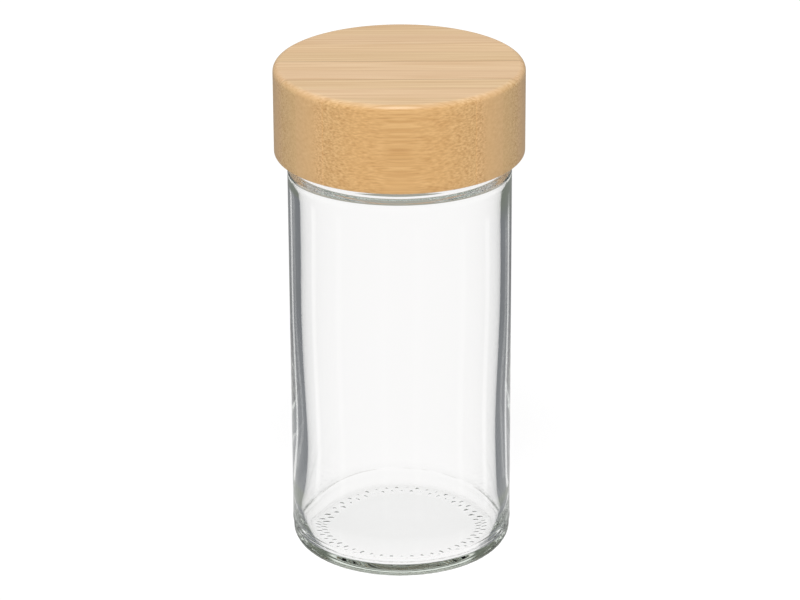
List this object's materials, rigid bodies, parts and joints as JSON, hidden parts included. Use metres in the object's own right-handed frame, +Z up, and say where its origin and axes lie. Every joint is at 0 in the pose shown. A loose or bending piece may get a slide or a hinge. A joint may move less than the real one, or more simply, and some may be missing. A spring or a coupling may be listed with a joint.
{
  "type": "spice jar",
  "caption": "Round clear glass spice jar with a threaded neck, closed by a laminated bamboo screw cap with a threaded plastic insert and a foam sealing liner.",
  "frame": {"origin": "centre of the jar's foot, on the surface it stands on", "axes": "+Z up along the jar; the cap's bamboo strips run along X and are stacked along Y at rest"},
  "size_m": [0.056, 0.056, 0.1152],
  "materials": {
    "clear_glass": "fire-polished soda-lime glass, a faint green in the thick places",
    "bamboo": "sanded bamboo with a thin matt oil finish",
    "insert_plastic": "moulded natural polypropylene",
    "liner_foam": "closed-cell polyethylene foam sheet, die cut"
  },
  "bodies": {
    "jar": {"glass_jar": "clear_glass"},
    "liner": {"seal_liner": "liner_foam"},
    "cap": {"threaded_insert": "insert_plastic", "bamboo_strip_01": "bamboo", "bamboo_strip_02": "bamboo", "bamboo_strip_03": "bamboo", "bamboo_strip_04": "bamboo", "bamboo_strip_05": "bamboo", "bamboo_strip_06": "bamboo", "bamboo_strip_07": "bamboo", "bamboo_strip_08": "bamboo", "bamboo_strip_09": "bamboo", "bamboo_strip_10": "bamboo"}
  },
  "joints": [
    {"name": "cap_lift", "type": "slide", "parent": "jar", "child": "liner", "axis": [0, 0, 1], "range_m": [0, 0.01693]},
    {"name": "cap_turn", "type": "hinge", "parent": "liner", "child": "cap", "pos_m": [0, 0, 0.105], "axis": [0, 0, 1], "range_deg": [0, 1440]}
  ],
  "couplings": [
    {"joint": "cap_lift", "follows": "cap_turn", "m_per_rad": 0.0006737}
  ]
}
